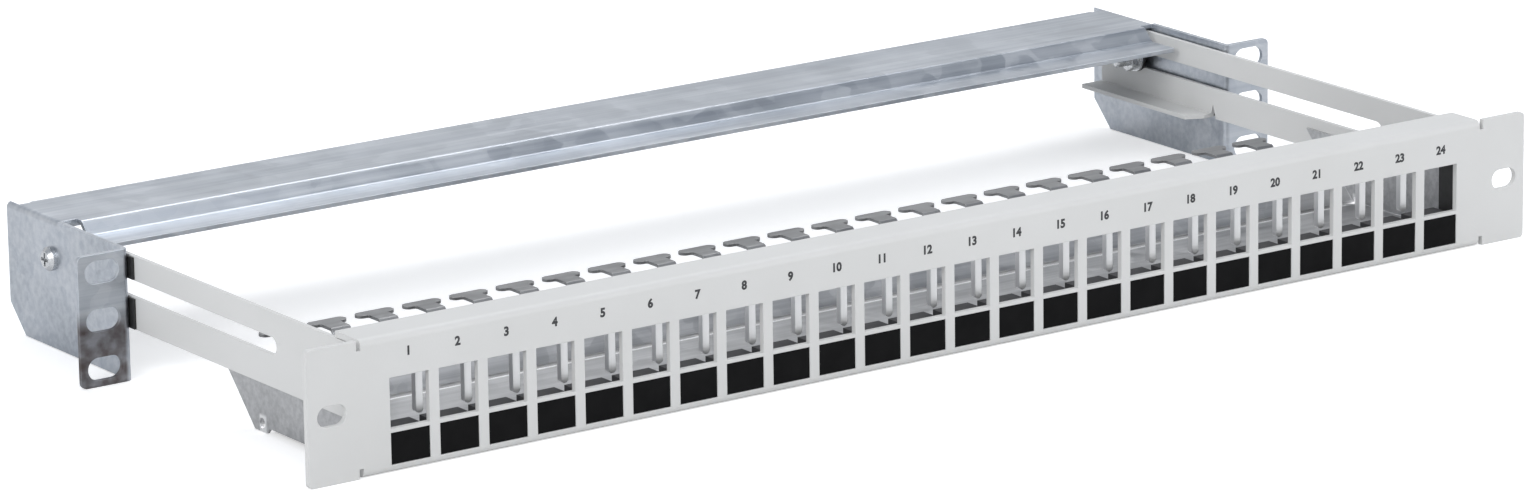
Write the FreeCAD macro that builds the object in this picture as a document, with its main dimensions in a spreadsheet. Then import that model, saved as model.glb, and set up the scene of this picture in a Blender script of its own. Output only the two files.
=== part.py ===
import FreeCAD, Part
import math
import os
import re
import Sketcher
from FreeCAD import Vector

# Sliding patch panel, 19 inch wide and one rack unit high, drawn pulled out of its rear frame.
#
# A front carrier (folded face plate, two slotted arms, a module comb between two end blocks, a
# tray with tie tabs, and the label inserts) slides on two bolts that a folded rear frame holds.
# The frame's own ears are bolted to the rack.
# Every piece is drawn in one working frame: X across, middle of the panel at 0; Y towards the
# back, 0 on the face plate's front; Z up, 0 at mid height. Each piece's Placement then moves it
# so that the part's origin is at the bottom centre of the pulled-out panel.

os.makedirs("parts", exist_ok=True)
doc = FreeCAD.newDocument("patch_panel")

# ---------------------------------------------------------------- driving sizes, millimetres
SIZES = (
    # port row
    ("port_count", 24, "ports side by side"),
    ("port_spacing", 17.8, "port to port"),
    ("port_width", 14.2, "width of a port window and of the label window below it"),
    ("port_height", 16.3, "height of a port window"),
    ("divider_height", 1.2, "web between a port window and its label window"),
    ("label_height", 10.2, "height of a label window"),
    ("label_edge", 0.2, "label window above the lower fold"),
    ("row_margin", 8.4, "last window to the inner face of the arm"),
    # face plate
    ("panel_height", 43.6, "height of the face plate, one rack unit less its clearance"),
    ("panel_sheet", 2.0, "sheet of the face plate"),
    ("flange_depth", 14.5, "folded flanges, from the front face"),
    ("bend_inside", 0.3, "inside radius of every fold"),
    ("corner_radius", 1.5, "rounded corners of the ears"),
    ("relief_width", 1.6, "notch that parts a flange from its ear"),
    ("relief_depth", 3.2, "depth of that notch"),
    ("face_slot_length", 10.5, "screw slot in the face plate's ear"),
    ("face_slot_width", 6.8, "screw slot in the face plate's ear"),
    ("ear_reach", 17.3, "side of the frame to the end of an ear"),
    ("ear_hole_inset", 8.75, "end of an ear to the middle of its slots"),
    # label inserts
    ("insert_gap", 0.1, "clearance round an insert in its window"),
    ("insert_setback", 0.3, "insert's face behind the panel's face"),
    ("insert_lip", 0.8, "how far the insert's rear lip laps the window"),
    ("insert_lip_sheet", 1.0, "thickness of the rear lip"),
    ("insert_depth", 10.0, "how far the insert reaches back from the face plate"),
    # arms
    ("arm_sheet", 1.5, "sheet of the arms"),
    ("arm_height", 24.5, "height of an arm"),
    ("arm_top_gap", 0.3, "arm below the panel's top flange"),
    ("arm_overrun", 21.0, "arm behind the bolt, pulled out"),
    ("slot_rise", 8.6, "slot above mid height"),
    ("slot_width", 5.6, "slot in the arm"),
    ("slot_end_gap", 0.1, "bush to the slot's end at both stops"),
    ("lip_width", 9.0, "folded lip under the arm's rear half"),
    ("lip_length", 64.0, "length of that lip"),
    ("notch_width", 4.0, "bend relief at the lip's front end"),
    ("notch_height", 5.0, "bend relief at the lip's front end"),
    ("foot_gap", 3.4, "arm's front foot to the first insert's lip"),
    # module comb and end blocks
    ("comb_sheet", 2.2, "thickness of the module comb"),
    ("comb_setback", 6.7, "back of the face plate to the front of the module comb"),
    ("comb_head", 7.8, "band of the module comb above its fingers"),
    ("finger_width", 2.6, "finger between two sockets"),
    ("finger_length", 27.2, "top of the module comb to the end of a finger"),
    ("block_gap", 0.6, "first insert's lip to the end block"),
    ("block_depth", 7.5, "depth of an end block"),
    # comb tray
    ("tray_sheet", 1.0, "sheet of the comb tray"),
    ("seat_gap", 0.1, "between pieces that are fitted against each other"),
    ("floor_depth", 62.0, "back of the face plate to the fold where the tray's floor turns up"),
    ("tab_rise", 20.3, "underside of the tray's floor to the top of the tie tabs"),
    ("gap_rise", 9.0, "underside of the tray's floor to the root of a gap between two necks"),
    ("neck_width", 7.0, "neck of a tie tab"),
    ("neck_radius", 1.8, "round at the root of the neck"),
    ("tab_reach", 10.0, "top of the slope to the end of a tie tab"),
    ("head_width", 14.0, "head of a tie tab"),
    ("head_depth", 4.2, "head of a tie tab"),
    ("head_fillet", 1.0, "round between neck and head"),
    ("cheek_drop", 2.0, "top of the tray's cheek below the slide's washers"),
    ("cheek_length", 57.5, "straight bottom edge of a cheek, from the face plate's front"),
    ("cheek_lobe_drop", 1.8, "lobe round the cheek's hole, below the tray floor"),
    ("cheek_lobe_length", 9.0, "length of that lobe"),
    ("cheek_hole", 3.4, "hole in the cheek's lobe"),
    ("cheek_slope", 0.95, "run of the cheek's sloped rear edge over its rise"),
    # rear frame
    ("frame_sheet", 1.5, "sheet of the rear frame"),
    ("frame_depth", 76.0, "front of the rack ears to the back of the frame"),
    ("frame_bottom_gap", 0.3, "side plate's bottom edge above the bottom of its ear"),
    ("fold_outside", 2.0, "outside radius where the side plates fold down"),
    ("rear_fold", 6.0, "outside radius of the bar's rear fold"),
    ("rear_drop", 12.0, "height of the bar's rear flange"),
    ("bar_end_gap", 3.2, "end of the bar's flanges to the arm's inner face"),
    ("bar_flat", 36.5, "flat top of the bar, from the back of the frame"),
    ("joggle_drop", 4.3, "front edge of the bar, below its top"),
    ("bar_edge", 12.7, "joggled front edge of the bar"),
    ("side_chamfer_height", 9.7, "sloped lower rear corner of the side plate"),
    ("side_chamfer_length", 9.5, "sloped lower rear corner of the side plate"),
    ("rack_slot_length", 12.5, "slot in a rack ear"),
    ("rack_slot_width", 7.5, "slot in a rack ear"),
    ("rack_slot_step", 15.875, "slot to slot in a rack ear"),
    ("ear_radius", 2.0, "rounded corners of a rack ear"),
    # slide
    ("travel", 133.0, "travel of the slide"),
    ("closed_gap", 2.5, "face plate to rack ears, pushed in"),
    ("side_gap", 0.8, "arm to side plate"),
    ("glide_gap", 0.1, "running clearance at the glides and bushes"),
    ("glide_front", 2.0, "glide in front of the rack ear"),
    ("glide_length", 14.0, "length of a glide"),
    ("glide_edge_gap", 0.4, "glide to the edges of the arm and its slot"),
    ("bolt_setback", 28.5, "slide bolt to the back of the frame"),
    ("bolt_radius", 2.0, "slide bolt"),
    ("bolt_head_radius", 4.0, "pan head"),
    ("bolt_head_height", 2.6, "pan head"),
    ("bolt_reach", 14.0, "bolt from under its head to its end"),
    ("bolt_chamfer", 0.5, "chamfer on the bolt's end"),
    ("bolt_fit", 0.05, "radial clearance round the bolt"),
    ("recess_width", 1.0, "cross recess"),
    ("recess_length", 4.4, "cross recess"),
    ("recess_depth", 1.3, "cross recess"),
    ("collar_radius", 2.4, "bush inside the slot"),
    ("bush_flange_radius", 4.5, "bush flange and washer"),
    ("bush_flange_sheet", 1.0, "bush flange"),
    ("washer_sheet", 0.8, "washer"),
    ("nut_radius", 4.04, "across the nut's corners, halved"),
    ("nut_height", 3.2, "nut"),
)

sheet = doc.addObject("Spreadsheet::Sheet", "sizes")
for row, (alias, size, note) in enumerate(SIZES, start=1):
    sheet.set(f"A{row}", alias)
    sheet.set(f"B{row}", str(size))
    sheet.setAlias(f"B{row}", alias)
    sheet.set(f"C{row}", note)

# ---------------------------------------------------------------- places worked out from them
PLACES = (
    ("row_half", "port_spacing * (port_count - 1) / 2 + port_width / 2"),
    ("arm_inner", "row_half + row_margin"),
    ("arm_outer", "arm_inner + arm_sheet"),
    ("frame_inner", "arm_outer + side_gap"),
    ("frame_outer", "frame_inner + frame_sheet"),
    ("ear_end", "frame_outer + ear_reach"),
    ("ear_hole", "ear_end - ear_hole_inset"),
    ("bar_end", "arm_inner - bar_end_gap"),
    ("foot_end", "row_half + insert_lip + foot_gap"),
    ("panel_half", "panel_height / 2"),
    ("flange_face", "panel_half - panel_sheet"),
    ("bend_outside", "bend_inside + panel_sheet"),
    ("label_bottom", "bend_outside + label_edge - panel_half"),
    ("label_top", "label_bottom + label_height"),
    ("port_bottom", "label_top + divider_height"),
    ("port_top", "port_bottom + port_height"),
    ("arm_top", "flange_face - arm_top_gap"),
    ("arm_bottom", "arm_top - arm_height"),
    ("slot_top", "slot_rise + slot_width / 2"),
    ("slot_bottom", "slot_rise - slot_width / 2"),
    ("ear_front", "panel_sheet + travel + closed_gap"),
    ("frame_rear", "ear_front + frame_depth"),
    ("bolt_back", "frame_rear - bolt_setback"),
    ("arm_rear", "bolt_back + arm_overrun"),
    ("lip_front", "arm_rear - lip_length"),
    ("floor_bottom", "0 - flange_face"),
    ("floor_top", "floor_bottom + tray_sheet"),
    ("comb_front", "panel_sheet + comb_setback"),
    ("comb_top", "flange_face - seat_gap"),
    ("comb_end", "row_half + insert_lip + block_gap - seat_gap"),
    ("tray_front", "panel_sheet + arm_sheet + insert_lip_sheet + seat_gap"),
    ("floor_back", "panel_sheet + floor_depth"),
    ("tab_top", "floor_bottom + tab_rise"),
    ("tab_base", "tab_top - tray_sheet"),
    ("slope_back", "floor_back + tab_base - floor_bottom"),
    ("joggle_top", "panel_half - joggle_drop"),
    ("neck_gap", "port_spacing - neck_width"),
    ("cheek_top", "slot_rise - bush_flange_radius - cheek_drop"),
    ("cheek_low", "floor_bottom - cheek_lobe_drop"),
    ("cheek_corner", "cheek_length + cheek_lobe_length"),
    ("bar_step_back", "frame_rear - bar_flat"),
    ("channel_front", "bar_step_back + 2 * frame_sheet"),
    ("bar_step_front", "bar_step_back - joggle_drop"),
    ("bar_front", "bar_step_front - bar_edge"),
    ("side_bottom", "frame_bottom_gap - panel_half"),
    ("bolt_head", "frame_outer + bolt_head_height"),
    ("bolt_end", "frame_outer - bolt_reach"),
    ("bush_seat", "arm_inner - glide_gap"),
    ("washer_seat", "bush_seat - bush_flange_sheet"),
    ("nut_seat", "washer_seat - washer_sheet"),
    ("bolt_hole", "bolt_radius + bolt_fit"),
)
OWNER = {alias: "sizes" for alias, size, note in SIZES}
OWNER.update({name: "places" for name, rule in PLACES})


def bound(rule):
    """The rule with each size and place named by the object that holds it."""
    return re.sub(r"[a-z][a-z_]*", lambda word: with_owner(word.group()), str(rule))


def with_owner(word):
    return f"{OWNER[word]}.{word}" if word in OWNER else word


def number(rule):
    """Present value of a rule, in millimetres."""
    return float(places.evalExpression(bound(rule)))


places = doc.addObject("App::VarSet", "places")
for name, rule in PLACES:
    places.addProperty("App::PropertyFloat", name, "places")
    places.setExpression(name, bound(rule))
doc.recompute()

nodes = {}


def keep(piece, label):
    """Names a finished piece and stands it on the part's own origin."""
    piece.Label = label
    piece.setExpression("Placement.Base.y", bound("0 - frame_rear / 2"))
    piece.setExpression("Placement.Base.z", bound("panel_half"))
    nodes[label] = piece


# ---------------------------------------------------------------- sketching and feature helpers
def new_body(label):
    body = doc.addObject("PartDesign::Body", label)
    keep(body, label)
    return body


def new_sketch(body, name, role, lift="0"):
    """A sketch on one of the body's own planes, lifted along the plane's normal.

    XZ_Plane looks towards the front, so its lift is minus the place along Y.
    """
    sketch = body.newObject("Sketcher::SketchObject", name)
    plane = next(item for item in body.Origin.OriginFeatures if item.Role == role)
    sketch.AttachmentSupport = [(plane, "")]
    sketch.MapMode = "FlatFace"
    sketch.setExpression("AttachmentOffset.Base.z", bound(lift))
    return sketch


def pin(sketch, edge, point, across, along):
    """Dimensions one point of a sketch from its origin."""
    for kind, rule in (("DistanceX", across), ("DistanceY", along)):
        index = sketch.addConstraint(Sketcher.Constraint(kind, -1, 1, edge, point, number(rule)))
        sketch.setExpression(f"Constraints[{index}]", bound(rule))


def polygon(sketch, corners):
    """Closed outline through corners given as pairs of rules."""
    spots = [Vector(number(across), number(along), 0) for across, along in corners]
    first = sketch.GeometryCount
    count = len(corners)
    for index in range(count):
        sketch.addGeometry(Part.LineSegment(spots[index], spots[(index + 1) % count]))
    for index in range(count):
        following = first + (index + 1) % count
        sketch.addConstraint(Sketcher.Constraint("Coincident", first + index, 2, following, 1))
    for index, (across, along) in enumerate(corners):
        pin(sketch, first + index, 1, across, along)


def box(sketch, left, right, low, high):
    polygon(sketch, ((left, low), (right, low), (right, high), (left, high)))


def disc(sketch, across, along, radius):
    centre = Vector(number(across), number(along), 0)
    edge = sketch.addGeometry(Part.Circle(centre, Vector(0, 0, 1), number(radius)))
    pin(sketch, edge, 3, across, along)
    index = sketch.addConstraint(Sketcher.Constraint("Radius", edge, number(radius)))
    sketch.setExpression(f"Constraints[{index}]", bound(radius))


def oval(sketch, across, along, length, width, upright=False):
    """Slot with round ends about a centre, lying along the sketch's X, or upright."""
    radius = number(width) / 2
    half = f"(({length}) - ({width})) / 2"
    arcs = []
    for sign, start in (("-", 90), ("+", -90)):
        if upright:
            spot = (across, f"{along} {sign} {half}")
            start += 90
        else:
            spot = (f"{across} {sign} {half}", along)
        middle = Vector(number(spot[0]), number(spot[1]), 0)
        circle = Part.Circle(middle, Vector(0, 0, 1), radius)
        arc = Part.ArcOfCircle(circle, math.radians(start), math.radians(start + 180))
        arcs.append(sketch.addGeometry(arc))
        pin(sketch, arcs[-1], 3, *spot)
    for here, there in (arcs, arcs[::-1]):
        side = Part.LineSegment(sketch.getPoint(here, 2), sketch.getPoint(there, 1))
        line = sketch.addGeometry(side)
        sketch.addConstraint(Sketcher.Constraint("Tangent", here, 2, line, 1))
        sketch.addConstraint(Sketcher.Constraint("Tangent", line, 2, there, 1))
    sketch.addConstraint(Sketcher.Constraint("Equal", *arcs))
    index = sketch.addConstraint(Sketcher.Constraint("Radius", arcs[0], radius))
    sketch.setExpression(f"Constraints[{index}]", bound(f"({width}) / 2"))


def tub(sketch, left, right, low, high, radius):
    """Rectangle whose two lower corners are round."""
    start = sketch.GeometryCount
    size = number(radius)
    for across, turn in ((f"{left} + {radius}", 180), (f"{right} - {radius}", 270)):
        middle = Vector(number(across), number(f"{low} + {radius}"), 0)
        circle = Part.Circle(middle, Vector(0, 0, 1), size)
        arc = Part.ArcOfCircle(circle, math.radians(turn), math.radians(turn + 90))
        pin(sketch, sketch.addGeometry(arc), 3, across, f"{low} + {radius}")
        index = sketch.addConstraint(Sketcher.Constraint("Radius", sketch.GeometryCount - 1, size))
        sketch.setExpression(f"Constraints[{index}]", bound(radius))
    near, far = start, start + 1
    tops = [Vector(number(side), number(high), 0) for side in (right, left)]
    floor = sketch.addGeometry(
        Part.LineSegment(sketch.getPoint(near, 2), sketch.getPoint(far, 1)))
    rise = sketch.addGeometry(Part.LineSegment(sketch.getPoint(far, 2), tops[0]))
    top = sketch.addGeometry(Part.LineSegment(*tops))
    fall = sketch.addGeometry(Part.LineSegment(tops[1], sketch.getPoint(near, 1)))
    joints = ((near, 2, floor, 1), (floor, 2, far, 1), (far, 2, rise, 1), (fall, 2, near, 1))
    for joint in joints:
        sketch.addConstraint(Sketcher.Constraint("Tangent", *joint))
    for corner in ((rise, 2, top, 1), (top, 2, fall, 1)):
        sketch.addConstraint(Sketcher.Constraint("Coincident", *corner))
    pin(sketch, rise, 2, right, high)
    pin(sketch, top, 2, left, high)


def pad(body, sketch, length, name, reverse=False, both=False):
    """Extrudes along the sketch's normal, against it, or to both sides in all that length."""
    feature = body.newObject("PartDesign::Pad", name)
    feature.Profile = sketch
    feature.Refine = True
    feature.SideType = "Symmetric" if both else "One side"
    feature.Reversed = reverse
    feature.setExpression("Length", bound(length))
    doc.recompute()
    return feature


def pocket(body, sketch, name, length=None, reverse=False):
    """Cuts through all to both sides, or one length deep."""
    before = body.Tip.Shape.Volume
    feature = body.newObject("PartDesign::Pocket", name)
    feature.Profile = sketch
    if length is None:
        feature.Type = "ThroughAll"
        feature.SideType = "Symmetric"
    else:
        feature.Type = "Length"
        feature.Reversed = reverse
        feature.setExpression("Length", bound(length))
    doc.recompute()
    if not body.Tip.Shape.Volume < before:
        raise RuntimeError(f"{body.Label}: {name} cuts nothing")
    return feature


def repeat(body, features, sketch, count, pitch, name):
    """Copies features along the sketch's X."""
    pattern = body.newObject("PartDesign::LinearPattern", name)
    pattern.Originals = features
    pattern.Direction = (sketch, ["H_Axis"])
    pattern.Mode = "Spacing"
    pattern.setExpression("Occurrences", bound(count))
    pattern.setExpression("Offset", bound(pitch))
    body.Tip = pattern
    doc.recompute()
    return pattern


SAME_PLACE = 1e-3
NEAR_MIDDLE = (-1, 1)


def edges_along(body, axis, spots, reach=None):
    """Names of the edges that run along an axis through the given spots.

    A spot is a pair of rules for the other two coordinates. reach limits the middle of the
    edge along its axis.
    """
    others = [index for index in range(3) if index != axis]
    found = []
    targets = [(number(one), number(two)) for one, two in spots]
    for index, edge in enumerate(body.Tip.Shape.Edges, start=1):
        if len(edge.Vertexes) != 2:
            continue
        start, end = (vertex.Point for vertex in edge.Vertexes)
        middle = edge.CenterOfMass
        place = [middle[other] for other in others]
        straight = all(abs(start[other] - end[other]) < SAME_PLACE for other in others)
        if not straight or (reach and not reach[0] <= middle[axis] <= reach[1]):
            continue
        if any(math.dist(place, target) < SAME_PLACE for target in targets):
            found.append(f"Edge{index}")
    if not found:
        raise RuntimeError(f"{body.Label}: no edge along axis {axis} at {targets}")
    return found


def round_edges(body, names, radius, name):
    base = body.Tip
    feature = body.newObject("PartDesign::Fillet", name)
    feature.Base = (base, names)
    feature.setExpression("Radius", bound(radius))
    doc.recompute()
    return feature


def mirrored(source, label):
    """The same piece on the other side of the panel."""
    twin = doc.addObject("Part::Mirroring", label)
    twin.Source = source
    twin.Normal = Vector(1, 0, 0)
    twin.Label = label
    nodes[label] = twin
    return twin


SIDES = ("-", "")


def sided(sign, inner, outer):
    """Left and right limits of a strip that lies between two distances from the middle."""
    if sign:
        return f"0 - ({outer})", f"0 - ({inner})"
    return inner, outer


# ---------------------------------------------------------------- face plate
# One sheet: the ears are flat, and between them both long edges are folded back. Each port has
# a window for its socket and a smaller one below, which a label insert fills.
panel = new_body("front_panel")
face = new_sketch(panel, "face_outline", "XZ_Plane")
box(face, "0 - ear_end", "ear_end", "0 - panel_half", "panel_half")
pad(panel, face, "panel_sheet", "face", reverse=True)
flanges = new_sketch(panel, "flange_section", "XZ_Plane", "0 - panel_sheet / 2")
box(flanges, "0 - arm_outer", "arm_outer", "flange_face", "panel_half")
box(flanges, "0 - arm_outer", "arm_outer", "0 - panel_half", "0 - flange_face")
pad(panel, flanges, "flange_depth - panel_sheet / 2", "flanges", reverse=True)
reliefs = new_sketch(panel, "relief_outline", "XZ_Plane")
for sign in SIDES:
    left, right = sided(sign, "arm_outer", "arm_outer + relief_width")
    box(reliefs, left, right, "panel_half - relief_depth", "panel_half + panel_sheet")
    box(reliefs, left, right, "0 - panel_half - panel_sheet", "relief_depth - panel_half")
pocket(panel, reliefs, "flange_reliefs")
round_edges(panel, edges_along(panel, 0, (("0", "panel_half"), ("0", "0 - panel_half")), NEAR_MIDDLE),
            "bend_outside", "outer_bends")
round_edges(panel, edges_along(panel, 0, (("panel_sheet", "flange_face"),
                                          ("panel_sheet", "0 - flange_face")), NEAR_MIDDLE),
            "bend_inside", "inner_bends")
round_edges(panel, edges_along(panel, 1, [(f"{sign}ear_end", f"{flip}panel_half")
                                          for sign in SIDES for flip in SIDES]),
            "corner_radius", "ear_corners")
screw_slots = new_sketch(panel, "screw_slot_outline", "XZ_Plane")
for sign in SIDES:
    oval(screw_slots, f"{sign}ear_hole", "0", "face_slot_length", "face_slot_width")
pocket(panel, screw_slots, "screw_slots")
windows = new_sketch(panel, "first_windows", "XZ_Plane")
box(windows, "0 - row_half", "port_width - row_half", "port_bottom", "port_top")
box(windows, "0 - row_half", "port_width - row_half", "label_bottom", "label_top")
first_windows = pocket(panel, windows, "windows")
repeat(panel, [first_windows], windows, "port_count", "port_spacing", "window_row")


# ---------------------------------------------------------------- label inserts
# Black plastic blocks pushed into the lower windows from behind. Each has a lip that stops it
# against the back of the face plate at its sides and top, and rests on the tray's floor.
def label_insert(index):
    name = f"label_insert_{index + 1:02d}"
    plate = doc.addObject("Part::Box", f"{name}_plate")
    plate.setExpression("Length", bound("port_width - 2 * insert_gap"))
    plate.setExpression("Width", bound("panel_sheet - insert_setback"))
    plate.setExpression("Height", bound("label_height - 2 * insert_gap"))
    plate.setExpression("Placement.Base.x", bound("insert_gap - port_width / 2"))
    plate.setExpression("Placement.Base.y", bound("insert_setback"))
    plate.setExpression("Placement.Base.z", bound("label_bottom + insert_gap"))
    lip = doc.addObject("Part::Box", f"{name}_lip")
    lip.setExpression("Length", bound("port_width + 2 * insert_lip"))
    lip.setExpression("Width", bound("insert_lip_sheet"))
    lip.setExpression("Height", bound("label_height + insert_lip - insert_gap"))
    lip.setExpression("Placement.Base.x", bound("0 - port_width / 2 - insert_lip"))
    lip.setExpression("Placement.Base.y", bound("panel_sheet"))
    lip.setExpression("Placement.Base.z", bound("label_bottom + insert_gap"))
    back = doc.addObject("Part::Box", f"{name}_back")
    back.setExpression("Length", bound("port_width - 2 * insert_gap"))
    back.setExpression("Width", bound("insert_depth"))
    back.setExpression("Height", bound("label_top - insert_gap - floor_top - seat_gap"))
    back.setExpression("Placement.Base.x", bound("insert_gap - port_width / 2"))
    back.setExpression("Placement.Base.y", bound("panel_sheet"))
    back.setExpression("Placement.Base.z", bound("floor_top + seat_gap"))
    insert = doc.addObject("Part::MultiFuse", name)
    insert.Shapes = [plate, lip, back]
    insert.Refine = True
    keep(insert, name)
    insert.setExpression("Placement.Base.x", bound(f"port_spacing * ({index} - (port_count - 1) / 2)"))


for index in range(int(number("port_count"))):
    label_insert(index)

# ---------------------------------------------------------------- arms
# Each arm is a plate on edge. Its front foot is folded inwards and lies on the back of the face
# plate, its rear half has a lip folded inwards under it, and the bolt runs in its long slot.
arm = new_body("left_arm")
outline = new_sketch(arm, "arm_outline", "YZ_Plane", "0 - arm_outer")
box(outline, "panel_sheet", "arm_rear", "arm_bottom", "arm_top")
pad(arm, outline, "arm_sheet", "arm_plate")
foot = new_sketch(arm, "foot_outline", "XZ_Plane", "0 - panel_sheet")
box(foot, "0 - arm_outer", "0 - foot_end", "arm_bottom", "arm_top")
pad(arm, foot, "arm_sheet", "foot", reverse=True)
lip = new_sketch(arm, "lip_outline", "XY_Plane", "arm_bottom")
polygon(lip, (("0 - arm_outer", "lip_front"), ("0 - arm_inner", "lip_front"),
              ("lip_width - arm_inner", "lip_front + lip_width / 2"),
              ("lip_width - arm_inner", "arm_rear"), ("0 - arm_outer", "arm_rear")))
pad(arm, lip, "arm_sheet", "lip")
round_edges(arm, edges_along(arm, 2, (("0 - arm_outer", "panel_sheet"),)), "arm_sheet",
            "foot_bend")
round_edges(arm, edges_along(arm, 1, (("0 - arm_outer", "arm_bottom"),)), "bend_inside",
            "lower_edge")
slot = new_sketch(arm, "slot_outline", "YZ_Plane", "0 - arm_inner")
slot_length = "travel + 2 * collar_radius + 2 * slot_end_gap"
oval(slot, "bolt_back - travel / 2", "slot_rise", slot_length, "slot_width")
pocket(arm, slot, "slot")
notch = new_sketch(arm, "notch_outline", "YZ_Plane", "0 - arm_inner")
polygon(notch, (("lip_front - notch_width / 2", "arm_bottom - arm_sheet"),
                ("lip_front + notch_width / 2", "arm_bottom - arm_sheet"),
                ("lip_front", "arm_bottom + notch_height")))
pocket(arm, notch, "bend_relief")
mirrored(arm, "right_arm")

# ---------------------------------------------------------------- module comb and end blocks
# A plate hangs from the panel's upper flange, and its fingers part the sockets behind the face
# plate. A black plastic block closes the row at each end.
comb = new_body("module_comb")
head = new_sketch(comb, "comb_head_outline", "XZ_Plane", "0 - comb_front")
box(head, "0 - comb_end", "comb_end", "comb_top - comb_head", "comb_top")
pad(comb, head, "comb_sheet", "comb_head", reverse=True)
fingers = new_sketch(comb, "finger_outline", "XZ_Plane", "0 - comb_front")
first_divider = "0 - port_spacing * (port_count / 2 - 1)"
oval(fingers, first_divider, "comb_top - finger_length / 2", "finger_length", "finger_width",
     upright=True)
finger = pad(comb, fingers, "comb_sheet", "finger", reverse=True)
repeat(comb, [finger], fingers, "port_count - 1", "port_spacing", "finger_row")
block = new_body("left_end_block")
block_base = new_sketch(block, "block_outline", "XY_Plane", "floor_top + seat_gap")
block_front = "panel_sheet + arm_sheet + seat_gap"
box(block_base, "tray_sheet + seat_gap - arm_inner", "0 - comb_end - seat_gap", block_front,
    f"{block_front} + block_depth")
pad(block, block_base, "comb_top - floor_top - seat_gap", "block")
round_edges(block, edges_along(block, 2, (
    ("0 - comb_end - seat_gap", f"{block_front} + block_depth"),)), "bend_inside", "block_corner")
mirrored(block, "right_end_block")

# ---------------------------------------------------------------- comb tray
# One thin sheet: a floor on the panel's lower flange that turns up into a slope at the back. The
# slope is cut into necks, one behind each finger, and each neck ends in a flat T-shaped tie tab.
# The cheeks at both ends lie against the arms.
tray = new_body("comb_tray")
section = new_sketch(tray, "tray_section", "YZ_Plane")
bend_shift = "tray_sheet * (sqrt(2) - 1)"
polygon(section, (("tray_front", "floor_bottom"), ("floor_back", "floor_bottom"),
                  ("slope_back", "tab_base"), ("slope_back + tray_sheet", "tab_base"),
                  ("slope_back + tray_sheet", "tab_top"),
                  (f"slope_back - {bend_shift}", "tab_top"),
                  (f"floor_back - {bend_shift}", "floor_top"), ("tray_front", "floor_top")))
pad(tray, section, "2 * arm_inner", "folded_sheet", both=True)
round_edges(tray, edges_along(tray, 0, (("floor_back", "floor_bottom"),
                                        (f"slope_back - {bend_shift}", "tab_top"))),
            "tray_sheet", "slope_bends")
cut_start = "0 - slope_back - 2 * tray_sheet"
cut_depth = "slope_back - floor_back"
neck_root = "floor_bottom + gap_rise"
gaps = new_sketch(tray, "neck_gap_outline", "XZ_Plane", cut_start)
first_port = "0 - port_spacing * (port_count - 1) / 2"
tub(gaps, f"{first_port} - neck_gap / 2", f"{first_port} + neck_gap / 2", neck_root,
    "tab_top + tray_sheet", "neck_radius")
gap = pocket(tray, gaps, "neck_gap", cut_depth, reverse=True)
repeat(tray, [gap], gaps, "port_count", "port_spacing", "gap_row")
ends = new_sketch(tray, "end_trim_outline", "XZ_Plane", cut_start)
for sign in SIDES:
    left, right = sided(sign, "port_spacing * (port_count - 1) / 2", "arm_inner + tray_sheet")
    box(ends, left, right, neck_root, "tab_top + tray_sheet")
pocket(tray, ends, "end_trim", cut_depth, reverse=True)
head_middle = "slope_back + tab_reach - head_depth / 2"
necks = new_sketch(tray, "tab_neck_outline", "XY_Plane", "tab_base")
box(necks, f"{first_divider} - neck_width / 2", f"{first_divider} + neck_width / 2",
    "slope_back", head_middle)
tab_neck = pad(tray, necks, "tray_sheet", "tab_neck")
heads = new_sketch(tray, "tab_head_outline", "XY_Plane", "tab_base")
oval(heads, first_divider, head_middle, "head_width", "head_depth")
tab_head = pad(tray, heads, "tray_sheet", "tab_head")
repeat(tray, [tab_neck, tab_head], heads, "port_count - 1", "port_spacing", "tab_row")
head_front = "slope_back + tab_reach - head_depth"
corners = [(f"{first_divider} + {index} * port_spacing {sign} neck_width / 2", head_front)
           for index in range(int(number("port_count - 1"))) for sign in "+-"]
round_edges(tray, edges_along(tray, 2, corners), "head_fillet", "tab_fillets")
for sign in SIDES:
    left, right = sided(sign, "arm_inner - tray_sheet", "arm_inner")
    cheek = new_sketch(tray, f"cheek_outline_{'left' if sign else 'right'}", "YZ_Plane", left)
    slope_run = "cheek_slope * (cheek_top - cheek_low)"
    polygon(cheek, (("tray_front", "floor_bottom"), ("cheek_length", "floor_bottom"),
                    ("cheek_length + cheek_lobe_drop", "cheek_low"),
                    ("cheek_corner", "cheek_low"), (f"cheek_corner + {slope_run}", "cheek_top"),
                    ("tray_front", "cheek_top")))
    pad(tray, cheek, "tray_sheet", f"cheek_{'left' if sign else 'right'}")
cheek_holes = new_sketch(tray, "cheek_hole_outline", "YZ_Plane")
disc(cheek_holes, "cheek_length + cheek_lobe_length / 2", "cheek_low + cheek_hole / 2 + tray_sheet",
     "cheek_hole / 2")
pocket(tray, cheek_holes, "cheek_holes")

# ---------------------------------------------------------------- rear frame
# One galvanised sheet: a bar across the top at the back, joggled down along its front edge and
# folded down along its rear edge, a side plate folded down at each end, and a rack ear folded
# out of the front of each side plate.
frame = new_body("rear_frame")
channel = new_sketch(frame, "side_outline", "YZ_Plane")
polygon(channel, (("channel_front", "side_bottom"),
                  ("frame_rear - side_chamfer_length", "side_bottom"),
                  ("frame_rear", "side_bottom + side_chamfer_height"),
                  ("frame_rear", "panel_half"), ("channel_front", "panel_half")))
pad(frame, channel, "2 * frame_outer", "channel", both=True)
hollow = new_sketch(frame, "channel_hollow_outline", "XZ_Plane")
box(hollow, "0 - frame_inner", "frame_inner", "0 - panel_height", "panel_half - frame_sheet")
pocket(frame, hollow, "channel_hollow")
round_edges(frame, edges_along(frame, 1, (("0 - frame_outer", "panel_half"),
                                          ("frame_outer", "panel_half"))),
            "fold_outside", "side_folds")
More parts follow.
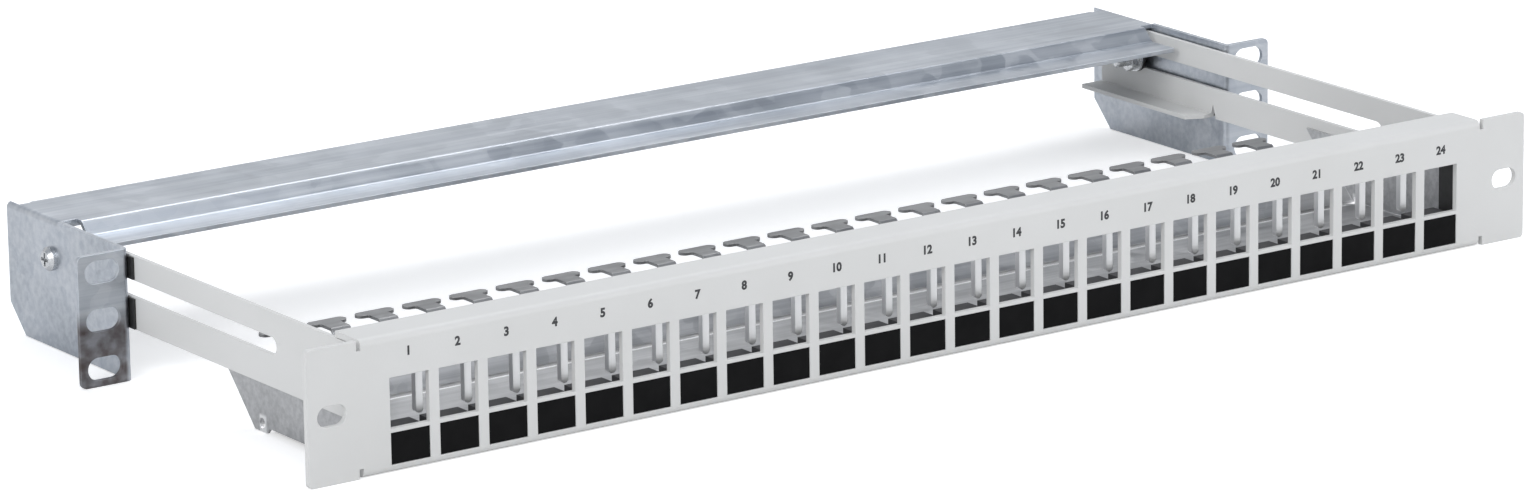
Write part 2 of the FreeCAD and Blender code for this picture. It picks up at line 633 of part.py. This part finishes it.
round_edges(frame, edges_along(frame, 1, (("0 - frame_inner", "panel_half - frame_sheet"),
                                          ("frame_inner", "panel_half - frame_sheet"))),
            "bend_inside", "side_fold_insides")
rear_trim = new_sketch(frame, "rear_trim_outline", "XY_Plane")
box(rear_trim, "0 - frame_inner", "frame_inner", "frame_rear - rear_fold",
    "frame_rear + frame_sheet")
pocket(frame, rear_trim, "rear_trim")
fronts = new_sketch(frame, "side_front_outline", "XZ_Plane", "0 - channel_front")
for sign in SIDES:
    left, right = sided(sign, "frame_inner", "frame_outer")
    box(fronts, left, right, "side_bottom", "panel_half")
pad(frame, fronts, "channel_front - ear_front", "side_fronts")
ears = new_sketch(frame, "ear_outline", "XZ_Plane", "0 - ear_front")
for sign in SIDES:
    left, right = sided(sign, "frame_inner", "ear_end")
    box(ears, left, right, "0 - panel_half", "panel_half")
pad(frame, ears, "frame_sheet", "ears", reverse=True)
slope_shift = "frame_sheet * (sqrt(2) - 1)"
edge = new_sketch(frame, "bar_edge_section", "YZ_Plane")
polygon(edge, (("bar_front", "joggle_top - frame_sheet"),
               (f"bar_step_front + {slope_shift}", "joggle_top - frame_sheet"),
               (f"bar_step_back + {slope_shift}", "panel_half - frame_sheet"),
               ("channel_front + frame_sheet", "panel_half - frame_sheet"),
               ("channel_front + frame_sheet", "panel_half"),
               ("bar_step_back", "panel_half"), ("bar_step_front", "joggle_top"),
               ("bar_front", "joggle_top")))
pad(frame, edge, "2 * bar_end", "bar_edge", both=True)
rear = new_sketch(frame, "rear_flange_section", "YZ_Plane")
fold_start = "frame_rear - rear_fold"
polygon(rear, ((fold_start, "panel_half - frame_sheet"), (fold_start, "panel_half"),
               ("frame_rear", "panel_half"), ("frame_rear", "panel_half - rear_drop"),
               ("frame_rear - frame_sheet", "panel_half - rear_drop"),
               ("frame_rear - frame_sheet", "panel_half - frame_sheet")))
pad(frame, rear, "2 * bar_end", "rear_flange", both=True)
round_edges(frame, edges_along(frame, 0, (("frame_rear", "panel_half"),)), "rear_fold",
            "rear_corner")
round_edges(frame, edges_along(frame, 0, (
    ("frame_rear - frame_sheet", "panel_half - frame_sheet"),), NEAR_MIDDLE),
            "rear_fold - frame_sheet", "rear_fold_inside")
round_edges(frame, edges_along(frame, 0, (("bar_step_back", "panel_half"),), NEAR_MIDDLE),
            "frame_sheet", "joggle_upper_bend")
round_edges(frame, edges_along(frame, 0, (("bar_step_front", "joggle_top"),), NEAR_MIDDLE),
            "frame_sheet", "joggle_lower_bend")
round_edges(frame, edges_along(frame, 2, [(f"{sign}frame_inner", "ear_front")
                                          for sign in SIDES]),
            "ear_radius", "ear_folds")
round_edges(frame, edges_along(frame, 1, [(f"{sign}ear_end", f"{flip}panel_half")
                                          for sign in SIDES for flip in SIDES]),
            "ear_radius", "ear_corners")
rack_slots = new_sketch(frame, "rack_slot_outline", "XZ_Plane")
for sign in SIDES:
    for step in ("0 - rack_slot_step", "0", "rack_slot_step"):
        oval(rack_slots, f"{sign}ear_hole", step, "rack_slot_length", "rack_slot_width")
pocket(frame, rack_slots, "rack_slots")
bolt_holes = new_sketch(frame, "bolt_hole_outline", "YZ_Plane")
disc(bolt_holes, "bolt_back", "slot_rise", "bolt_hole")
pocket(frame, bolt_holes, "bolt_holes")


# ---------------------------------------------------------------- slide hardware
# On each side a pan head bolt passes through the side plate, a flanged bush that runs in the
# arm's slot, a washer and a nut. Thin glides line the mouth of the side plate.
def turned(label, points):
    """A round piece on the left bolt's axis, from its half outline in X and radius."""
    body = new_body(label)
    body.setExpression("Placement.Base.y", bound("bolt_back - frame_rear / 2"))
    body.setExpression("Placement.Base.z", bound("panel_half + slot_rise"))
    sketch = new_sketch(body, f"{label}_outline", "XY_Plane")
    polygon(sketch, [(f"0 - ({across})", radius) for across, radius in points])
    turn = body.newObject("PartDesign::Revolution", f"{label}_turned")
    turn.Profile = sketch
    turn.ReferenceAxis = (sketch, ["H_Axis"])
    turn.Angle = 360
    doc.recompute()
    return body


bolt = turned("left_slide_bolt", (
    ("bolt_head", "0"), ("bolt_head", "bolt_head_radius - recess_depth"),
    ("frame_outer + recess_depth", "bolt_head_radius"), ("frame_outer", "bolt_head_radius"),
    ("frame_outer", "bolt_radius"), ("bolt_end + bolt_chamfer", "bolt_radius"),
    ("bolt_end", "bolt_radius - bolt_chamfer"), ("bolt_end", "0")))
recess = new_sketch(bolt, "recess_outline", "YZ_Plane", "0 - bolt_head")
wide = "recess_length / 2"
thin = "recess_width / 2"
polygon(recess, (
    (f"0 - {wide}", f"0 - {thin}"), (f"0 - {thin}", f"0 - {thin}"), (f"0 - {thin}", f"0 - {wide}"),
    (thin, f"0 - {wide}"), (thin, f"0 - {thin}"), (wide, f"0 - {thin}"), (wide, thin),
    (thin, thin), (thin, wide), (f"0 - {thin}", wide), (f"0 - {thin}", thin),
    (f"0 - {wide}", thin)))
pocket(bolt, recess, "cross_recess", "recess_depth", reverse=True)
turned("left_slide_bush", (
    ("frame_inner", "bolt_hole"), ("frame_inner", "collar_radius"),
    ("bush_seat", "collar_radius"), ("bush_seat", "bush_flange_radius"),
    ("washer_seat", "bush_flange_radius"), ("washer_seat", "bolt_hole")))
turned("left_slide_washer", (
    ("washer_seat", "bolt_hole"), ("washer_seat", "bush_flange_radius"),
    ("nut_seat", "bush_flange_radius"), ("nut_seat", "bolt_hole")))

hexagon = doc.addObject("Part::Prism", "nut_hexagon")
hexagon.Polygon = 6
hexagon.setExpression("Circumradius", bound("nut_radius"))
hexagon.setExpression("Height", bound("nut_height"))
hexagon.Placement.Rotation = FreeCAD.Rotation(Vector(0, 1, 0), 90)
hexagon.setExpression("Placement.Base.x", bound("0 - nut_seat"))
hexagon.setExpression("Placement.Base.y", bound("bolt_back"))
hexagon.setExpression("Placement.Base.z", bound("slot_rise"))
bore = doc.addObject("Part::Cylinder", "nut_bore")
bore.setExpression("Radius", bound("bolt_hole"))
bore.setExpression("Height", bound("3 * nut_height"))
bore.Placement.Rotation = FreeCAD.Rotation(Vector(0, 1, 0), 90)
bore.setExpression("Placement.Base.x", bound("0 - nut_seat - nut_height"))
bore.setExpression("Placement.Base.y", bound("bolt_back"))
bore.setExpression("Placement.Base.z", bound("slot_rise"))
nut = doc.addObject("Part::Cut", "left_slide_nut")
nut.Base = hexagon
nut.Tool = bore
keep(nut, "left_slide_nut")


def glide(label, low, high):
    strip = doc.addObject("Part::Box", label)
    strip.setExpression("Length", bound("side_gap - glide_gap"))
    strip.setExpression("Width", bound("glide_length"))
    strip.setExpression("Height", bound(f"({high}) - ({low}) - 2 * glide_edge_gap"))
    keep(strip, label)
    strip.setExpression("Placement.Base.x", bound("0 - frame_inner"))
    strip.setExpression("Placement.Base.y", bound("ear_front - glide_front - frame_rear / 2"))
    strip.setExpression("Placement.Base.z", bound(f"panel_half + {low} + glide_edge_gap"))


glide("left_upper_glide", "slot_top", "arm_top")
glide("left_lower_glide", "arm_bottom", "slot_bottom")
for label in ("slide_bolt", "slide_bush", "slide_washer", "slide_nut", "upper_glide",
              "lower_glide"):
    mirrored(nodes[f"left_{label}"], f"right_{label}")


def finish():
    doc.recompute()
    for item in doc.Objects:
        if "Invalid" in item.State or "Error" in item.State:
            raise RuntimeError(f"{item.Label} failed: {item.State}")
    for label, piece in nodes.items():
        if piece.Shape.isNull() or not piece.Shape.isValid():
            raise RuntimeError(f"{label} has no valid shape")
        piece.Shape.exportStep(f"parts/{label}.step")
        print(label, len(piece.Shape.Solids), round(piece.Shape.Volume, 1), piece.Shape.BoundBox)


finish()
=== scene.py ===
import math

import bmesh
import bpy
from mathutils import Matrix, Vector


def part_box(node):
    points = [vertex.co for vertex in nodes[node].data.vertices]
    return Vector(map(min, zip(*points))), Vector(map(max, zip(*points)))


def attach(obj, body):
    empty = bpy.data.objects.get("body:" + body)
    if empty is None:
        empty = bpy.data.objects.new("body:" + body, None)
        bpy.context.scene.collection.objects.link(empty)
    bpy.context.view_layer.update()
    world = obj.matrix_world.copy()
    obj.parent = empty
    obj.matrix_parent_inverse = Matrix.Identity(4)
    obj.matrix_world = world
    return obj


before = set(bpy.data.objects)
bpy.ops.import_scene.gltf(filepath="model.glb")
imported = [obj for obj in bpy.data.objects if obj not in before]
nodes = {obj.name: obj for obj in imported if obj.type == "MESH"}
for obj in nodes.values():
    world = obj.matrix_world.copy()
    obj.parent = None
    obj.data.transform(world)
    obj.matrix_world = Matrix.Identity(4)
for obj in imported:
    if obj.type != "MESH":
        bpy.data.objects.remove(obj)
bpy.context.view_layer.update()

scene = bpy.context.scene
scene.view_settings.view_transform = "Standard"


# ---------------------------------------------------------------- studio
# The panel lies on a plain pale table top in a pale room. A long lens stands to the left in front
# of it and a little above. Soft lamps stand at the left and the front right, and two hang overhead.
panel_low, panel_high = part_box("front_panel")
face_middle = Vector(((panel_low.x + panel_high.x) / 2, panel_low.y, (panel_low.z + panel_high.z) / 2))
turn, tilt, roll = math.radians(34.865), math.radians(15.031), math.radians(-0.825)
ahead = Vector((math.sin(turn) * math.cos(tilt), math.cos(turn) * math.cos(tilt), -math.sin(tilt)))
level = Vector((math.cos(turn), -math.sin(turn), 0))
upright = level.cross(ahead)
across = level * math.cos(roll) + upright * math.sin(roll)
rise = upright * math.cos(roll) - level * math.sin(roll)
camera_distance, camera_left, camera_up = 2.33232, 0.059575, 0.013673
camera_place = face_middle - ahead * camera_distance - across * camera_left + rise * camera_up
camera = bpy.data.objects.new("camera", bpy.data.cameras.new("camera"))
scene.collection.objects.link(camera)
camera.data.lens = 171.62
camera.data.sensor_width = 36
camera.data.clip_end = 20
camera.matrix_world = Matrix.Translation(camera_place) @ Matrix((across, rise, -ahead)).transposed().to_4x4()
scene.camera = camera

floor_shape = bmesh.new()
bmesh.ops.create_grid(floor_shape, x_segments=1, y_segments=1, size=6)
floor_mesh = bpy.data.meshes.new("table_top")
floor_shape.to_mesh(floor_mesh)
floor_shape.free()
floor = bpy.data.objects.new("table_top", floor_mesh)
scene.collection.objects.link(floor)

table_paint = bpy.data.materials.new("table_paint")
table_paint.use_nodes = True
tree = table_paint.node_tree
tree.nodes.clear()
out = tree.nodes.new("ShaderNodeOutputMaterial")
matt = tree.nodes.new("ShaderNodeBsdfDiffuse")
matt.inputs["Color"].default_value = (0.86, 0.86, 0.86, 1)
glow = tree.nodes.new("ShaderNodeEmission")
seen = tree.nodes.new("ShaderNodeLightPath")
strength = tree.nodes.new("ShaderNodeMath")
strength.operation = "MULTIPLY"
strength.inputs[1].default_value = 0.42
both = tree.nodes.new("ShaderNodeAddShader")
tree.links.new(seen.outputs["Is Camera Ray"], strength.inputs[0])
tree.links.new(strength.outputs[0], glow.inputs["Strength"])
tree.links.new(matt.outputs[0], both.inputs[0])
tree.links.new(glow.outputs[0], both.inputs[1])
tree.links.new(both.outputs[0], out.inputs["Surface"])
floor_mesh.materials.append(table_paint)

# The room is lightest a little above the horizon and darker overhead.
room = bpy.data.worlds.new("room")
room.use_nodes = True
scene.world = room
tree = room.node_tree
backdrop = tree.nodes["Background"]
direction = tree.nodes.new("ShaderNodeTexCoord")
height = tree.nodes.new("ShaderNodeSeparateXYZ")
shade = tree.nodes.new("ShaderNodeValToRGB")
horizon, overhead = shade.color_ramp.elements
horizon.position = 0.0
horizon.color = (0.90, 0.91, 0.93, 1)
overhead.position = 0.8
overhead.color = (0.34, 0.37, 0.42, 1)
for place, tone in ((0.22, (0.90, 0.92, 0.95, 1)), (0.38, (1.0, 1.0, 1.0, 1)), (0.60, (0.62, 0.66, 0.72, 1))):
    step = shade.color_ramp.elements.new(place)
    step.color = tone
tree.links.new(direction.outputs["Generated"], height.inputs[0])
tree.links.new(height.outputs["Z"], shade.inputs["Fac"])
tree.links.new(shade.outputs["Color"], backdrop.inputs["Color"])
backdrop.inputs["Strength"].default_value = 0.80


def soft_lamp(name, place, target, width, depth, watts):
    lamp = bpy.data.lights.new(name, "AREA")
    lamp.shape = "RECTANGLE"
    lamp.size, lamp.size_y = width, depth
    lamp.energy = watts
    holder = bpy.data.objects.new(name, lamp)
    holder.location = place
    holder.rotation_euler = (Vector(target) - Vector(place)).to_track_quat("-Z", "Y").to_euler()
    scene.collection.objects.link(holder)


soft_lamp("left_lamp", (-2.2, -0.9, 1.3), (0, 0, 0), 1.6, 1.2, 26)
soft_lamp("front_lamp", (1.1, -1.7, 0.95), (0.2, 0, 0), 1.4, 0.8, 12)
soft_lamp("top_lamp", (0.25, 0.5, 1.1), (0, 0, 0), 1.0, 0.5, 5.6)
soft_lamp("slope_lamp", (0.15, -0.3, 1.1), (-0.1, 0, 0), 0.5, 0.3, 1.0)


# ---------------------------------------------------------------- face plate and arms
# Folded steel sheet, sprayed with light grey powder and baked. The coat flows together into a
# fine orange peel, and its edges are painted a touch lighter as a painted highlight.
def new_material(name):
    material = bpy.data.materials.new(name)
    material.use_nodes = True
    return material, material.node_tree, material.node_tree.nodes["Principled BSDF"]


def noise(tree, where, scale, detail, roughness=0.5):
    pattern = tree.nodes.new("ShaderNodeTexNoise")
    pattern.inputs["Scale"].default_value = scale
    pattern.inputs["Detail"].default_value = detail
    pattern.inputs["Roughness"].default_value = roughness
    tree.links.new(where, pattern.inputs["Vector"])
    return pattern.outputs["Fac"]


def placed(tree, scale=(1, 1, 1)):
    """Places on the piece in metres, drawn out or squeezed by the scale."""
    spot = tree.nodes.new("ShaderNodeTexCoord")
    mapping = tree.nodes.new("ShaderNodeMapping")
    mapping.inputs["Scale"].default_value = scale
    tree.links.new(spot.outputs["Object"], mapping.inputs["Vector"])
    return mapping.outputs["Vector"]


def ramp(tree, value, low, high):
    """One colour or grey up to a value, another from a higher value on, and a blend between."""
    node = tree.nodes.new("ShaderNodeValToRGB")
    for element, (position, colour) in zip(node.color_ramp.elements, (low, high)):
        element.position = position
        element.color = (*colour, 1) if isinstance(colour, tuple) else (colour, colour, colour, 1)
    tree.links.new(value, node.inputs["Fac"])
    return node.outputs["Color"]


def mixed(tree, kind, share, first, second):
    node = tree.nodes.new("ShaderNodeMix")
    node.data_type = "RGBA"
    node.blend_type = kind
    if isinstance(share, float):
        node.inputs["Factor"].default_value = share
    else:
        tree.links.new(share, node.inputs["Factor"])
    for value, socket in ((first, node.inputs["A"]), (second, node.inputs["B"])):
        if isinstance(value, tuple):
            socket.default_value = (*value, 1)
        else:
            tree.links.new(value, socket)
    return node.outputs["Result"]


def rounded(tree, radius):
    """The surface's normal, with sharp edges rounded by the radius."""
    rounding = tree.nodes.new("ShaderNodeBevel")
    rounding.samples = 6
    rounding.inputs["Radius"].default_value = radius
    return rounding.outputs["Normal"]


def bumped(tree, surface, heights, strength, distance, edge):
    """Fine relief on the surface, over edges rounded by the given radius."""
    relief = tree.nodes.new("ShaderNodeBump")
    relief.inputs["Strength"].default_value = strength
    relief.inputs["Distance"].default_value = distance
    tree.links.new(heights, relief.inputs["Height"])
    tree.links.new(rounded(tree, edge), relief.inputs["Normal"])
    tree.links.new(relief.outputs["Normal"], surface.inputs["Normal"])


def edge_mask(tree, radius):
    """1 on sharp edges, 0 on flats: how far the rounded normal leaves the true one."""
    flat = tree.nodes.new("ShaderNodeNewGeometry")
    match = tree.nodes.new("ShaderNodeVectorMath")
    match.operation = "DOT_PRODUCT"
    tree.links.new(rounded(tree, radius), match.inputs[0])
    tree.links.new(flat.outputs["True Normal"], match.inputs[1])
    return ramp(tree, match.outputs["Value"], (0.80, 1.0), (0.99, 0.0))


def finish_node(name, material):
    node = nodes[name]
    node.data.materials.clear()
    node.data.materials.append(material)


powder_coat, tree, paint = new_material("powder_coat")
where = placed(tree)
tone = ramp(tree, noise(tree, where, 22, 3), (0.35, (0.635, 0.635, 0.625)), (0.65, (0.66, 0.66, 0.652)))
# Lighter grey on the edges: a painted highlight.
tone = mixed(tree, "MIX", edge_mask(tree, 0.0004), tone, (0.74, 0.74, 0.735))
tree.links.new(tone, paint.inputs["Base Color"])
gloss = ramp(tree, noise(tree, where, 60, 3), (0.3, 0.40), (0.7, 0.50))
tree.links.new(gloss, paint.inputs["Roughness"])
bumped(tree, paint, noise(tree, where, 1300, 2), 0.12, 0.0002, edge=0.0003)
for name in ("front_panel", "left_arm", "right_arm"):
    finish_node(name, powder_coat)


# ---------------------------------------------------------------- port numbers
# The ports are numbered from left to right in small dark digits, pad printed above each window
# on the powder coat. The print sits slightly out of level, lower at the right.
number_ink, tree, ink = new_material("number_ink")
specks = noise(tree, placed(tree), 900, 2)
ink_tone = ramp(tree, specks, (0.3, (0.025, 0.025, 0.027)), (0.8, (0.06, 0.06, 0.065)))
tree.links.new(ink_tone, ink.inputs["Base Color"])
ink.inputs["Roughness"].default_value = 0.6
port_count = 24
row_height = face_middle.z + 0.0149
row_fall = 0.0042
stand_up = Matrix.Rotation(math.radians(90), 4, "X")
digits = bmesh.new()
for port in range(port_count):
    insert_low, insert_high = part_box(f"label_insert_{port + 1:02d}")
    label = bpy.data.curves.new("digits", "FONT")
    label.body = str(port + 1)
    label.align_x = "CENTER"
    label.align_y = "CENTER"
    label.size = 0.0039
    label.offset = 0.00018
    label.extrude = 0.000015
    label.resolution_u = 3
    holder = bpy.data.objects.new("digits", label)
    scene.collection.objects.link(holder)
    printed = bpy.data.meshes.new_from_object(holder)
    middle = (insert_low.x + insert_high.x) / 2
    place = Vector((middle, panel_low.y, row_height - row_fall * middle))
    printed.transform(stand_up)
    printed.transform(Matrix.Translation(place))
    digits.from_mesh(printed)
    bpy.data.objects.remove(holder)
numbers_mesh = bpy.data.meshes.new("port_numbers")
digits.to_mesh(numbers_mesh)
digits.free()
numbers = bpy.data.objects.new("port_numbers", numbers_mesh)
scene.collection.objects.link(numbers)
numbers_mesh.materials.append(number_ink)
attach(numbers, "drawer")


# ---------------------------------------------------------------- label inserts
# Black moulded plastic blocks with a fine spark-eroded grain, pushed in behind the lower windows.
# Their fronts stay dark. Their edges are painted a little lighter as a painted highlight, and what
# stands behind the face plate is painted grey as a painted sheen of grazing light.
def ranged(tree, where, axis, start, end):
    """0 up to one place along an axis, 1 past the other, in metres."""
    parts = tree.nodes.new("ShaderNodeSeparateXYZ")
    spread = tree.nodes.new("ShaderNodeMapRange")
    spread.inputs["From Min"].default_value = start
    spread.inputs["From Max"].default_value = end
    tree.links.new(where, parts.inputs[0])
    tree.links.new(parts.outputs[axis], spread.inputs["Value"])
    return spread.outputs["Result"]


insert_plastic, tree, plastic = new_material("insert_plastic")
where = placed(tree)
tone = ramp(tree, noise(tree, where, 140, 3), (0.3, (0.0085, 0.0085, 0.0088)), (0.7, (0.011, 0.011, 0.0113)))
# Slightly lighter on the edges: a painted highlight.
tone = mixed(tree, "MIX", edge_mask(tree, 0.0003), tone, (0.016, 0.016, 0.017))
# Grey from just behind the face plate back: a painted sheen of grazing light on the plastic.
painted_sheen_behind_plate = ranged(tree, where, "Y", panel_low.y + 0.0025, panel_low.y + 0.004)
tone = mixed(tree, "MIX", painted_sheen_behind_plate, tone, (0.09, 0.09, 0.093))
tree.links.new(tone, plastic.inputs["Base Color"])
gloss = ramp(tree, noise(tree, where, 400, 2), (0.3, 0.56), (0.7, 0.7))
tree.links.new(gloss, plastic.inputs["Roughness"])
plastic.inputs["Specular IOR Level"].default_value = 0.03
bumped(tree, plastic, noise(tree, where, 2600, 2), 0.15, 0.0001, edge=0.0002)
for port in range(port_count):
    finish_node(f"label_insert_{port + 1:02d}", insert_plastic)


# ---------------------------------------------------------------- module comb
# Bright rolled steel behind the face plate. Its smooth fingers part the sockets, and the rolling
# left faint streaks down them.
comb_steel, tree, metal = new_material("comb_steel")
streaks = noise(tree, placed(tree, (900, 900, 14)), 1.0, 3)
tone = ramp(tree, streaks, (0.3, (0.80, 0.80, 0.80)), (0.7, (0.86, 0.86, 0.86)))
# Lighter on the edges: a painted highlight.
tone = mixed(tree, "MIX", edge_mask(tree, 0.0002), tone, (0.9, 0.9, 0.9))
tree.links.new(tone, metal.inputs["Base Color"])
metal.inputs["Metallic"].default_value = 1.0
gloss = ramp(tree, streaks, (0.3, 0.30), (0.7, 0.36))
tree.links.new(gloss, metal.inputs["Roughness"])
bumped(tree, metal, streaks, 0.03, 0.0001, edge=0.0002)
finish_node("module_comb", comb_steel)


# ---------------------------------------------------------------- end blocks
# Blocks of moulded black nylon behind the face plate, one past the first port and one past the
# last. Each fills the space between the row of ports and the arm beside it.
nylon, tree, plastic = new_material("nylon")
where = placed(tree)
tone = ramp(tree, noise(tree, where, 300, 3), (0.3, (0.014, 0.014, 0.014)), (0.7, (0.022, 0.022, 0.022)))
tree.links.new(tone, plastic.inputs["Base Color"])
gloss = ramp(tree, noise(tree, where, 500, 2), (0.3, 0.38), (0.7, 0.5))
tree.links.new(gloss, plastic.inputs["Roughness"])
bumped(tree, plastic, noise(tree, where, 2200, 2), 0.1, 0.0001, edge=0.0002)
for side in ("left", "right"):
    finish_node(f"{side}_end_block", nylon)


# ---------------------------------------------------------------- comb tray
# Thin galvanised sheet, stamped and folded, with a faint spangle, fine rolling streaks and edges
# painted lighter as a painted highlight. The floor and the tie tabs are painted darker, and a painted
# highlight runs along the floor at its fold.
def galvanised(name, dark, light, grain_scale, streak, rough):
    streak_spread, spangle_spread = 0.08, 0.10
    material, tree, metal = new_material(name)
    where = placed(tree)
    cells = tree.nodes.new("ShaderNodeTexVoronoi")
    cells.inputs["Scale"].default_value = grain_scale
    wavy = tree.nodes.new("ShaderNodeMix")
    wavy.data_type = "VECTOR"
    wavy.inputs["Factor"].default_value = 0.02
    shift = tree.nodes.new("ShaderNodeTexNoise")
    shift.inputs["Scale"].default_value = 60
    tree.links.new(where, shift.inputs["Vector"])
    tree.links.new(where, wavy.inputs["A"])
    tree.links.new(shift.outputs["Color"], wavy.inputs["B"])
    tree.links.new(wavy.outputs["Result"], cells.inputs["Vector"])
    single = tree.nodes.new("ShaderNodeSeparateColor")
    tree.links.new(cells.outputs["Color"], single.inputs["Color"])
    spangle = single.outputs["Red"]
    lines = noise(tree, placed(tree, streak), 1.0, 4, 0.6)
    clouds = noise(tree, where, 30, 3)
    base = ramp(tree, clouds, (0.3, dark), (0.7, light))
    base = mixed(tree, "OVERLAY", 0.45, base, ramp(tree, spangle, (0.0, 0.42), (1.0, 0.58)))
    base = mixed(tree, "OVERLAY", 0.55, base, ramp(tree, lines, (0.35, 0.38), (0.65, 0.62)))
    # Lighter on the edges: a painted highlight.
    base = mixed(tree, "MIX", edge_mask(tree, 0.0003), base, tuple(min(1.0, 1.25 * part) for part in light))
    tree.links.new(base, metal.inputs["Base Color"])
    metal.inputs["Metallic"].default_value = 1.0
    by_line = ramp(tree, lines, (0.3, rough - streak_spread), (0.7, rough + streak_spread))
    by_spangle = ramp(tree, spangle, (0.0, rough - spangle_spread), (1.0, rough + spangle_spread))
    tree.links.new(mixed(tree, "MIX", 0.5, by_line, by_spangle), metal.inputs["Roughness"])
    bumped(tree, metal, mixed(tree, "MIX", 0.5, lines, spangle), 0.06, 0.0002, edge=0.0003)
    return material


def times(tree, first, second):
    """A colour dimmed by a mask, or what two masks have in common."""
    return mixed(tree, "MULTIPLY", 1.0, first, second)


tray_zinc = galvanised("tray_zinc", (0.45, 0.452, 0.458), (0.54, 0.543, 0.55), 170, (12, 500, 500), 0.42)
finish_node("comb_tray", tray_zinc)

tree = tray_zinc.node_tree
metal = tree.nodes["Principled BSDF"]
where = placed(tree)
rolled_zinc = metal.inputs["Base Color"].links[0].from_socket
tray_low, tray_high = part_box("comb_tray")
above_floor = ranged(tree, where, "Z", tray_low.z + 0.003, tray_low.z + 0.006)
on_tabs = ranged(tree, where, "Z", tray_high.z - 0.0028, tray_high.z - 0.0025)
left_cheek = ranged(tree, where, "X", tray_low.x + 0.002, tray_low.x + 0.0015)
right_cheek = ranged(tree, where, "X", tray_high.x - 0.002, tray_high.x - 0.0015)
on_cheeks = mixed(tree, "ADD", 1.0, left_cheek, right_cheek)
# Darker on the floor and the tie tabs, unchanged on the cheeks.
floor_and_tab_darkening = mixed(tree, "MIX", above_floor, (0.82, 0.82, 0.82), (1.0, 1.0, 1.0))
floor_and_tab_darkening = mixed(tree, "MIX", on_tabs, floor_and_tab_darkening, (0.60, 0.60, 0.60))
floor_and_tab_darkening = mixed(tree, "MIX", on_cheeks, floor_and_tab_darkening, (1.0, 1.0, 1.0))
darkened_zinc = times(tree, rolled_zinc, floor_and_tab_darkening)
# A painted highlight along the floor at its fold.
fold_line = tray_low.y + 0.0568
past_start = ranged(tree, where, "Y", fold_line - 0.0024, fold_line - 0.0014)
before_end = ranged(tree, where, "Y", fold_line + 0.0024, fold_line + 0.0019)
near_floor = ranged(tree, where, "Z", tray_low.z + 0.006, tray_low.z + 0.005)
fold_highlight = times(tree, times(tree, past_start, before_end), near_floor)
tree.links.new(mixed(tree, "MIX", fold_highlight, darkened_zinc, (0.88, 0.88, 0.88)), metal.inputs["Base Color"])


# ---------------------------------------------------------------- rear frame
# Galvanised sheet with a cool bluish zinc, rolled along the bar. The bar, both side plates and
# both rack ears are one folded blank. The lower half of the left ear carries a painted dark brown reflection.
frame_zinc = galvanised("frame_zinc", (0.46, 0.49, 0.53), (0.58, 0.61, 0.655), 120, (8, 420, 420), 0.38)
finish_node("rear_frame", frame_zinc)

tree = frame_zinc.node_tree
metal = tree.nodes["Principled BSDF"]
where = placed(tree)
clean_zinc = metal.inputs["Base Color"].links[0].from_socket
glide_low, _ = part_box("left_upper_glide")
# A painted dark brown reflection on the lower half of the left ear, ragged at its top.
reflection_top = face_middle.z + 0.004
reflection_full = face_middle.z - 0.003
beside_plate = ranged(tree, where, "X", glide_low.x - 0.001, glide_low.x - 0.0025)
ear_depth = ranged(tree, where, "Y", glide_low.y + 0.005, glide_low.y + 0.0045)
on_ear = times(tree, beside_plate, ear_depth)
ragged = ramp(tree, noise(tree, where, 160, 3), (0.35, 0.55), (0.65, 1.0))
fading = times(tree, ranged(tree, where, "Z", reflection_top, reflection_full), ragged)
ear_reflection = times(tree, on_ear, fading)
tree.links.new(mixed(tree, "MIX", ear_reflection, clean_zinc, (0.11, 0.092, 0.09)), metal.inputs["Base Color"])


# ---------------------------------------------------------------- slide hardware
# Zinc plated pan head bolts, washers and nuts, turned and bright. The bushes and the glides that
# the arms run on are black nylon.
bright_zinc, tree, metal = new_material("bright_zinc")
where = placed(tree)
tone = ramp(tree, noise(tree, where, 500, 3), (0.3, (0.56, 0.57, 0.58)), (0.7, (0.72, 0.73, 0.74)))
tree.links.new(tone, metal.inputs["Base Color"])
metal.inputs["Metallic"].default_value = 1.0
gloss = ramp(tree, noise(tree, where, 900, 2), (0.3, 0.2), (0.7, 0.34))
tree.links.new(gloss, metal.inputs["Roughness"])
bumped(tree, metal, noise(tree, where, 1500, 2), 0.05, 0.0001, edge=0.0002)
for side in ("left", "right"):
    for piece in ("slide_bolt", "slide_washer", "slide_nut"):
        finish_node(f"{side}_{piece}", bright_zinc)
    for piece in ("slide_bush", "upper_glide", "lower_glide"):
        finish_node(f"{side}_{piece}", nylon)
